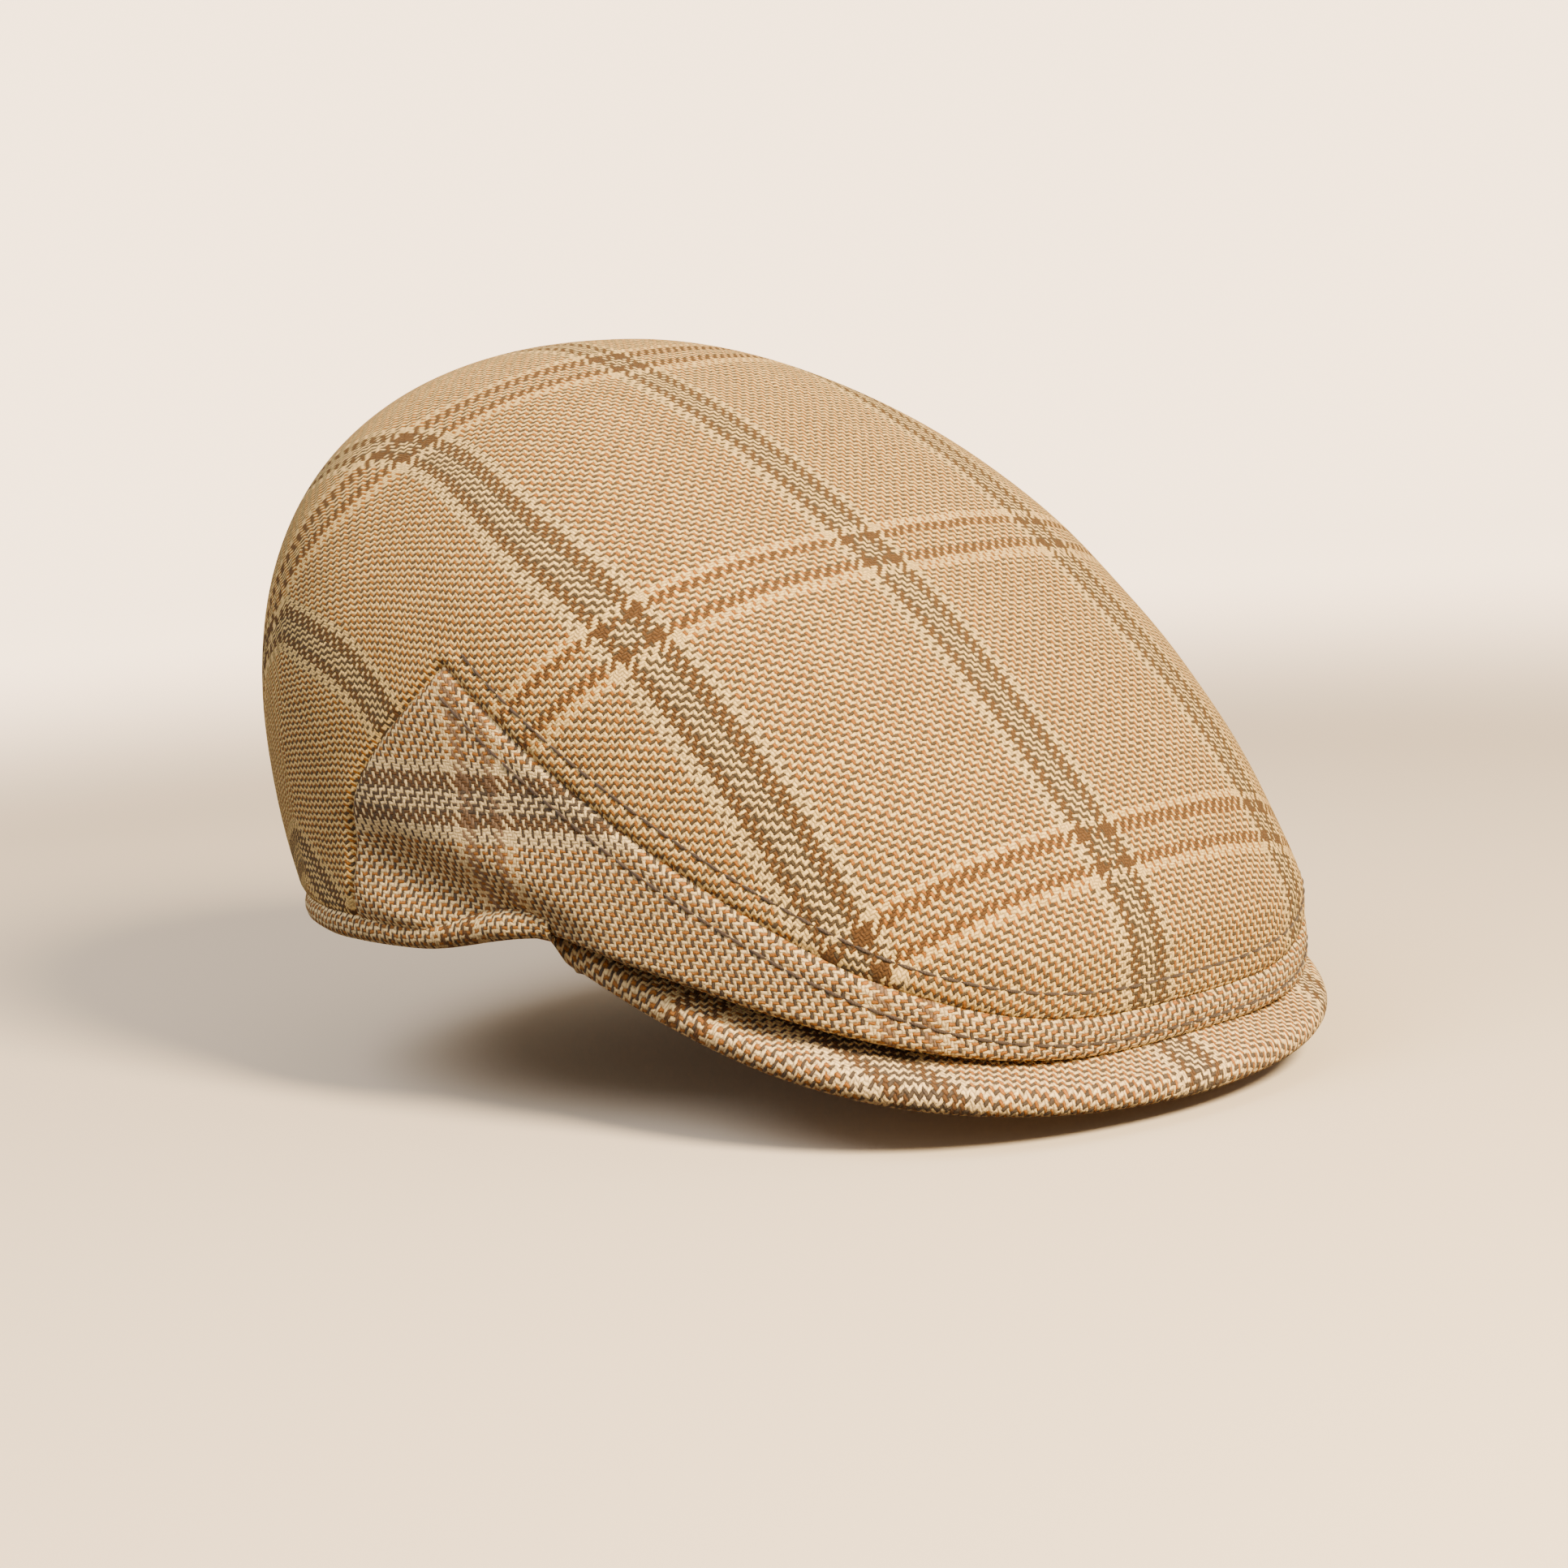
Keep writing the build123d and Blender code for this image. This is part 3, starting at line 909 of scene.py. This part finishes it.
def make_sweatband(material):
    turns = np.linspace(0, 2 * math.pi, 160, endpoint=False)
    outline = [(0.0, 0.0), (0.35, 0.35), (0.9, 0.55), (1.6, 0.62)]
    outline += [(2.4 + 26.0 * k / 6, 0.62 - 0.4 * math.sin(math.pi * k / 6)) for k in range(7)]
    outline += [(BAND_RISE - 2.6, 0.66), (BAND_RISE - 1.2, 0.75)]
    outline += [(BAND_RISE - 0.4, 0.55), (BAND_RISE, 0.1)]
    rows, uvs = [], []
    for up, inward in outline:
        crease = 0.12 * np.sin(turns * 23 + up * 0.2) * math.sin(math.pi * up / BAND_RISE)
        rows.append(band_ring(turns, inward - crease, up))
        uvs.append(coords(turns * 90.5, np.full_like(turns, up)))
    faces = grid_faces(len(rows), len(turns), closed=True, flip=True)
    return sew("sweatband", rows, faces, uvs, THICK["leather"], material, side=1.0)


def band_stitches(material):
    points, faces = [], []
    for turn in np.linspace(0, 2 * math.pi, BAND_STITCHES, endpoint=False):
        ends = band_ring(turn + np.array([0.0, 0.026]), 0.85, 3.0)
        inward = -np.array([math.sin(turn), -math.cos(turn), 0.0])
        add_stitch(points, faces, ends, inward, *BAND_STITCH_SIZE)
    finish_piece(collect("sweatband_stitch", points, faces), None, material)


PATCH_HALF = 28.0
PATCH_Y = (11.0, 45.0)


def make_labels(material):
    """The blank tag on the sweatband and the blank patch in the crown."""
    low, high = (np.array(v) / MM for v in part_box("size_label"))
    x, z = np.meshgrid(np.linspace(low[0], high[0], 14), np.linspace(low[2], high[2], 12))
    y = (BAND_HALF_Y - 1.6) * np.sqrt(1 - (x / (BAND_HALF_X - 1.6)) ** 2)
    edge = np.minimum(np.minimum(x - low[0], high[0] - x), np.minimum(z - low[2], high[2] - z))
    y = y - 0.25 * smooth(edge / 1.2)
    points, uvs = coords(x, y, z), coords(x, z)
    thick, slot = THICK["label"], "label_cloth"
    tag = sew("size_label", points, grid_faces(*x.shape), uvs, thick, material)

    near, far = PATCH_Y
    x, y = np.meshgrid(np.linspace(-PATCH_HALF, PATCH_HALF, 26), np.linspace(near, far, 18))
    low, high = np.full_like(x, 80.0), np.full_like(x, 121.9)
    z, _ = bisect(lambda z: gap(coords(x, y, z)) > 0, low, high, 30)
    points, uvs = coords(x, y, z), coords(x, y)
    edge = np.minimum(PATCH_HALF - np.abs(x), np.minimum(y - near, far - y))
    points = points - crown_normal(points) * (5.3 + 0.3 * smooth(edge / 1.5))[..., None]
    faces = grid_faces(*x.shape, flip=True)
    return tag, sew("lining_label", points, faces, uvs, thick, material)


# ---- materials


class Graph:
    """Short hand for building node materials."""

    def __init__(self, name):
        self.material = bpy.data.materials.new(name)
        self.material.use_nodes = True
        self.tree = self.material.node_tree
        self.shader = self.tree.nodes["Principled BSDF"]

    def node(self, kind, inputs=(), **settings):
        made = self.tree.nodes.new(kind)
        for key, value in settings.items():
            setattr(made, key, value)
        for key, value in dict(inputs).items():
            self.feed(made.inputs[key], value)
        return made

    def feed(self, socket, value):
        if isinstance(value, bpy.types.NodeSocket):
            self.tree.links.new(value, socket)
        else:
            socket.default_value = value

    def math(self, operation, *values):
        return self.node("ShaderNodeMath", enumerate(values), operation=operation).outputs[0]

    def vector(self, operation, inputs):
        return self.node("ShaderNodeVectorMath", inputs, operation=operation).outputs

    def total(self, value, parts):
        """A value with weighted parts added to it."""
        for part, weight in parts:
            value = self.math("ADD", value, self.math("MULTIPLY", part, weight))
        return value

    def cloth_place(self):
        return self.node("ShaderNodeUVMap", uv_map="cloth").outputs[0]

    def object_place(self):
        return self.node("ShaderNodeTexCoord").outputs["Object"]

    def mix(self, share, first_colour, second_colour, blend="MIX"):
        """Mix node for colours; its colour sockets are the seventh and eighth."""
        inputs = {0: share, 6: first_colour, 7: second_colour}
        made = self.node("ShaderNodeMix", inputs, data_type="RGBA", blend_type=blend)
        return made.outputs[2]

    def noise(self, vector, scale, detail=2.0, roughness=0.5, out="Fac"):
        inputs = {"Vector": vector, "Scale": scale, "Detail": detail, "Roughness": roughness}
        return self.node("ShaderNodeTexNoise", inputs).outputs[out]

    def white_noise(self, dimensions, **inputs):
        made = self.node("ShaderNodeTexWhiteNoise", inputs, noise_dimensions=dimensions)
        return made.outputs["Value"]

    def ramp(self, value, stops):
        """Colour stripes with sharp borders."""
        made = self.node("ShaderNodeValToRGB", {"Fac": value})
        ramp = made.color_ramp
        ramp.interpolation = "CONSTANT"
        while len(ramp.elements) < len(stops):
            ramp.elements.new(0.5)
        for element, (place, colour) in zip(ramp.elements, stops):
            element.position = place
            element.color = colour
        return made.outputs["Color"]

    def bump(self, height, distance, strength):
        inputs = {"Height": height, "Distance": distance, "Strength": strength}
        return self.node("ShaderNodeBump", inputs).outputs["Normal"]

    def set(self, **values):
        for key, value in values.items():
            self.feed(self.shader.inputs[key.replace("_", " ")], value)


def linear(red, green, blue):
    """sRGB 0 to 255 as a linear colour."""
    out = []
    for value in (red, green, blue):
        v = value / 255
        out.append(v / 12.92 if v <= 0.04045 else ((v + 0.055) / 1.055) ** 2.4)
    return (*out, 1.0)


CREAM = linear(248, 220, 164)
TAN = linear(160, 106, 50)
BROWN = linear(98, 70, 46)
# Paler, greyer cross line of the side panels' check.
SIDE_CROSS_LINE = linear(138, 112, 90)
GREY = linear(80, 70, 62)

YARNS = 1.5  # yarns to the millimetre
TWILL = 4.0  # yarns in a repeat of the twill
CHECK_START = 7.7  # where the cloth coordinates begin within the check, in millimetres


def yarn_stops(period, ground, line, middle):
    """Colour order of one yarn set over a repeat: ground, then the five stripes of the check."""
    stripes = [(0.0, CREAM), (2.4, line), (5.2, middle), (10.2, line), (13.0, CREAM)]
    return [(place * YARNS / period, colour) for place, colour in stripes + [(15.4, ground)]]


def tweed(name, tone, cross_line=BROWN):
    """Two-and-two twill of fuzzy wool yarns with a windowpane check, from the cloth coordinates."""
    g = Graph(name)
    place = g.cloth_place()
    wander = g.noise(place, 0.16, out="Color")
    shift = g.vector("SUBTRACT", {0: wander, 1: (0.5, 0.5, 0.5)})[0]
    shift = g.vector("SCALE", {0: shift, "Scale": 1.5})[0]
    moved = g.vector("ADD", {0: place, 1: shift})[0]
    split = g.node("ShaderNodeSeparateXYZ", {0: moved}).outputs
    fuzz = g.noise(place, 1.4, 4.0, 0.7, out="Color")
    ragged = g.node("ShaderNodeSeparateColor", {0: fuzz}).outputs

    def yarn_place(k):
        stray = g.math("SUBTRACT", ragged[k], 0.5)
        return g.math("MULTIPLY_ADD", stray, 1.5, g.math("MULTIPLY", split[k], YARNS))

    u, v = yarn_place(0), yarn_place(1)
    i, j = g.math("FLOOR", u), g.math("FLOOR", v)
    fu, fv = g.math("FRACT", u), g.math("FRACT", v)
    lag = g.math("FLOORED_MODULO", g.math("SUBTRACT", i, j), TWILL)
    warp_up = g.math("LESS_THAN", lag, 1.5)

    def arch(fraction):
        centred = g.math("SUBTRACT", g.math("MULTIPLY", fraction, 2.0), 1.0)
        return g.math("SUBTRACT", 1.0, g.math("POWER", g.math("ABSOLUTE", centred), 2.0))

    def float_height(fraction, from_axis, other, shift_by):
        run = g.math("ADD", g.math("SUBTRACT", from_axis, other), shift_by)
        wrapped = g.math("SUBTRACT", g.math("FLOORED_MODULO", run, TWILL), TWILL / 2)
        ends = g.math("SUBTRACT", 1.0, g.math("POWER", g.math("ABSOLUTE", wrapped), 3.0))
        along_yarn = g.math("ADD", 0.35, g.math("MULTIPLY", ends, 0.65))
        return g.math("MULTIPLY", arch(fraction), along_yarn)

    warp_height = float_height(fu, v, i, 2.0)
    weft_height = float_height(fv, u, j, -1.0)
    height = g.math(
        "ADD",
        g.math("MULTIPLY", warp_height, warp_up),
        g.math("MULTIPLY", weft_height, g.math("SUBTRACT", 1.0, warp_up)),
    )

    def yarn_colour(index, period, ground, second, line):
        phase = g.math("FLOORED_MODULO", g.math("ADD", index, CHECK_START * YARNS), period)
        phase = g.math("DIVIDE", phase, period)
        odd = g.math("FLOORED_MODULO", index, 2.0)
        even_colour = g.ramp(phase, yarn_stops(period, ground, line, CREAM))
        odd_colour = g.ramp(phase, yarn_stops(period, second, line, GREY))
        return g.mix(odd, even_colour, odd_colour)

    warp_colour = yarn_colour(i, CHECK_ACROSS * YARNS, CREAM, TAN, BROWN)
    weft_colour = yarn_colour(j, CHECK_ALONG * YARNS, CREAM, GREY, cross_line)
    colour = g.mix(warp_up, weft_colour, warp_colour)

    warp_seed = g.math("MULTIPLY", g.white_noise("1D", W=i), 0.5)
    weft_seed = g.math("MULTIPLY", g.white_noise("1D", W=j), 0.5)
    seed = g.math("ADD", warp_seed, weft_seed)
    fibre = g.noise(place, 2.6, 4.0, 0.7)
    large = g.noise(place, 0.035, 3.0, 0.6)
    cell = g.node("ShaderNodeCombineXYZ", {0: i, 1: j}).outputs[0]
    patch = g.white_noise("2D", Vector=cell)
    light = g.total(0.42, ((seed, 0.16), (patch, 0.30), (fibre, 0.55), (large, 0.14)))
    # Painted shade: each yarn is darker where it sinks between the floats of the twill, standing in
    # for shade in the crevices of the weave; this multiplies the yarns' random lightness.
    yarn_tone_and_crevice_shade = g.math("MULTIPLY", light, g.total(0.52, ((height, 0.6),)))
    # The piece's tone multiplies in here: on the top panel it is painted warm light, on the side
    # panels painted shade.
    tint = {k: g.math("MULTIPLY", yarn_tone_and_crevice_shade, tone[k]) for k in range(3)}
    tint = g.node("ShaderNodeCombineColor", tint).outputs[0]
    colour = g.mix(1.0, colour, tint, "MULTIPLY")
    hair = g.noise(place, 5.5, 3.0, 0.8)
    relief = g.total(g.math("MULTIPLY", height, 0.8), ((fibre, 0.35), (hair, 0.25)))
    g.set(Base_Color=colour, Roughness=0.93, Specular_IOR_Level=0.2)
    g.set(Normal=g.bump(relief, 0.00042, 0.85))
    g.set(Sheen_Weight=0.12, Sheen_Roughness=0.6, Sheen_Tint=linear(240, 216, 180))
    return g.material


def satin(name):
    g = Graph(name)
    place = g.cloth_place()
    split = g.node("ShaderNodeSeparateXYZ", {0: place}).outputs
    rib = g.math("SINE", g.math("MULTIPLY", g.math("ADD", split[0], split[1]), 8.0))
    tone = g.noise(place, 0.12, 3.0)
    colour = g.mix(tone, linear(92, 66, 44), linear(120, 90, 62))
    height = g.math("ADD", g.math("MULTIPLY", rib, 0.3), g.noise(place, 0.5, 3.0))
    g.set(Base_Color=colour, Roughness=0.36, Specular_IOR_Level=0.5)
    g.set(Normal=g.bump(height, 0.0004, 0.5), Sheen_Weight=0.2, Anisotropic=0.4)
    return g.material


def leather(name):
    g = Graph(name)
    place = g.object_place()
    grain = g.node("ShaderNodeTexVoronoi", {"Vector": place, "Scale": 1400.0})
    blotch = g.noise(place, 45.0, 4.0, 0.6)
    colour = g.mix(blotch, linear(84, 50, 28), linear(128, 84, 50))
    height = g.total(grain.outputs["Distance"], ((g.noise(place, 300.0, 3.0), 0.6),))
    rough = g.math("ADD", 0.42, g.math("MULTIPLY", blotch, 0.2))
    g.set(Base_Color=colour, Roughness=rough, Normal=g.bump(height, 0.0003, 0.6))
    return g.material


def thread(name):
    g = Graph(name)
    place = g.object_place()
    twist = {"Vector": place, "Scale": 900.0, "Distortion": 1.5}
    twist = g.node("ShaderNodeTexWave", twist).outputs["Fac"]
    colour = g.mix(g.noise(place, 900.0), linear(40, 30, 26), linear(70, 54, 44))
    g.set(Base_Color=colour, Roughness=0.6, Normal=g.bump(twist, 0.0001, 0.6), Sheen_Weight=0.2)
    return g.material


def label_cloth(name):
    g = Graph(name)
    place = g.cloth_place()
    split = g.node("ShaderNodeSeparateXYZ", {0: place}).outputs
    ribs = [g.math("SINE", g.math("MULTIPLY", split[k], 12.0)) for k in (0, 1)]
    ribs = g.math("MULTIPLY", *ribs)
    tone = g.noise(place, 0.6, 3.0)
    colour = g.mix(tone, linear(206, 196, 176), linear(226, 218, 200))
    g.set(Base_Color=colour, Roughness=0.7, Normal=g.bump(ribs, 0.0002, 0.5), Sheen_Weight=0.2)
    return g.material


def board(name):
    g = Graph(name)
    place = g.object_place()
    speck = g.noise(place, 500.0, 4.0, 0.7)
    colour = g.mix(speck, linear(150, 128, 98), linear(184, 164, 132))
    g.set(Base_Color=colour, Roughness=0.85, Normal=g.bump(speck, 0.0003, 0.5))
    return g.material


# ---- the cap

# One tweed in four tones. The top panel's warmer, yellower tone is painted warm light on the top,
# and the side panels' greyer, cooler tone is painted shade on the sides. The band's copy is
# slightly cooler and the visor's about 14 percent lighter.
top_cloth = tweed("tweed_top", tone=(1.0, 0.95, 0.76))
side_cloth_painted_shade = tweed("tweed_side_painted_shade", tone=(1.0, 1.01, 1.04), cross_line=SIDE_CROSS_LINE)
band_cloth = tweed("tweed_band", tone=(0.98, 1.0, 1.04))
visor_cloth = tweed("tweed_visor", tone=(1.14, 1.14, 1.18))
thread_dark = thread("thread")
lining_satin = satin("lining")
band_leather = leather("sweatband_leather")
label_weave = label_cloth("label_cloth")

top_panel = make_top(top_cloth)
side_left = make_side("side_panel_left", 1, side_cloth_painted_shade)
side_right = make_side("side_panel_right", -1, side_cloth_painted_shade)
edge_band = make_edge_band(band_cloth)
visor_top, visor_under = make_visor(visor_cloth)
make_topstitch("topstitch_upper", STITCH_OFFSET, thread_dark)
make_topstitch("topstitch_lower", -STITCH_OFFSET, thread_dark)
linings = make_lining(lining_satin)
sweatband = make_sweatband(band_leather)
band_stitches(thread_dark)
labels = make_labels(label_weave)
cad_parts["visor_board"].material_slots[0].material = board("board")

# The sewn pieces: crown, band, visor, linings, sweatband and labels.
cloth = [top_panel, side_left, side_right, edge_band, visor_top, visor_under]
cloth += [*linings, sweatband, *labels]


# ---- studio

TARGET = Vector((0.0, -0.017, 0.040))
AZIMUTH, ELEVATION, ROLL, DISTANCE = -45.0, 8.0, -3.75, 0.9
FLOOR_Z = -0.0375
GLOW = 3.9  # of the far backdrop

# Lights: metres sideways, up and towards the camera, size, power and colour.
LIGHTS = {
    "key": (0.56, 0.66, 0.98, 0.4, 60.0, (1.0, 0.76, 0.46)),
    "fill": (-0.8, 1.0, 0.5, 1.0, 12.0, (0.98, 0.95, 0.94)),
}


def camera_axes():
    a, e, r = (math.radians(v) for v in (AZIMUTH, ELEVATION, ROLL))
    back = Vector((math.sin(a) * math.cos(e), -math.cos(a) * math.cos(e), math.sin(e)))
    right = Vector((math.cos(a), math.sin(a), 0))
    up = back.cross(right)
    return back, right * math.cos(r) + up * math.sin(r), up * math.cos(r) - right * math.sin(r)


def make_camera():
    back, right, up = camera_axes()
    data = bpy.data.cameras.new("camera")
    data.lens = 93.7
    data.sensor_width = 36.0
    camera = bpy.data.objects.new("camera", data)
    aim = TARGET + right * 0.0003 - up * 0.0168
    camera.location = aim + back * DISTANCE
    rotation = np.array([right, up, back]).T
    camera.rotation_euler = Matrix(rotation.tolist()).to_euler()
    bpy.context.scene.collection.objects.link(camera)
    bpy.context.scene.camera = camera
    return back, right, up


def area_light(name, place, aim, size, power, colour):
    data = bpy.data.lights.new(name, "AREA")
    data.shape = "DISK"
    data.size = size
    data.energy = power
    data.color = colour
    lamp = bpy.data.objects.new(name, data)
    lamp.location = place
    lamp.rotation_euler = (Vector(aim) - Vector(place)).to_track_quat("-Z", "Y").to_euler()
    bpy.context.scene.collection.objects.link(lamp)


def revolve(name, profile, count=96):
    """Surface of revolution about the vertical axis, in metres."""
    turns = np.linspace(0, 2 * math.pi, count, endpoint=False)
    rings = [[(r * math.cos(t), r * math.sin(t), z) for t in turns] for r, z in profile]
    faces = grid_faces(len(profile), count, closed=True)
    return collect(name, np.array(rings) / MM, faces)


def pale_surface(name, glow=0.0):
    g = Graph(name)
    g.set(Base_Color=linear(238, 226, 210), Roughness=0.9, Specular_IOR_Level=0.1)
    if glow:
        place = g.object_place()
        flat = g.vector("MULTIPLY", {0: place, 1: (1, 1, 0)})[0]
        reach = g.vector("LENGTH", {0: flat})["Value"]
        fade = {"Value": reach, "From Min": 0.45, "From Max": 1.1, "To Min": 0.0, "To Max": glow}
        strength = g.node("ShaderNodeMapRange", fade, interpolation_type="SMOOTHSTEP").outputs[0]
        g.set(Emission_Color=linear(255, 222, 186), Emission_Strength=strength)
    return g.material


def make_studio():
    back, right, up = make_camera()
    centre = Vector((0, -0.01, 0.04))
    for name, (sideways, high, near, *settings) in LIGHTS.items():
        area_light(name, centre + right * sideways + up * high + back * near, centre, *settings)
    world = bpy.data.worlds.new("world")
    world.use_nodes = True
    tree = world.node_tree
    sky = tree.nodes.new("ShaderNodeTexCoord")
    split = tree.nodes.new("ShaderNodeSeparateXYZ")
    ramp = tree.nodes.new("ShaderNodeValToRGB")
    low, high = ramp.color_ramp.elements
    low.position, low.color = 0.0, linear(138, 112, 90)
    high.position, high.color = 0.35, linear(252, 232, 206)
    tree.links.new(sky.outputs["Generated"], split.inputs[0])
    tree.links.new(split.outputs["Z"], ramp.inputs[0])
    tree.links.new(ramp.outputs[0], tree.nodes["Background"].inputs[0])
    tree.nodes["Background"].inputs[1].default_value = 0.62
    bpy.context.scene.world = world
    floor = revolve("floor", [(0.0001, FLOOR_Z), (0.25, FLOOR_Z), (0.45, FLOOR_Z)])
    angles = np.radians(np.linspace(0, 90, 16))
    bend = [(1.3 + 0.5 * math.sin(a), FLOOR_Z + 0.5 - 0.5 * math.cos(a)) for a in angles]
    profile = [(0.45, FLOOR_Z), (0.9, FLOOR_Z), *bend, (1.8, 1.5), (1.8, 4.0)]
    backdrop = revolve("backdrop", profile)
    floor.data.materials.append(pale_surface("floor"))
    backdrop.data.materials.append(pale_surface("backdrop", GLOW))
    floor.visible_diffuse = False
    backdrop.visible_diffuse = backdrop.visible_glossy = backdrop.visible_shadow = False


make_studio()
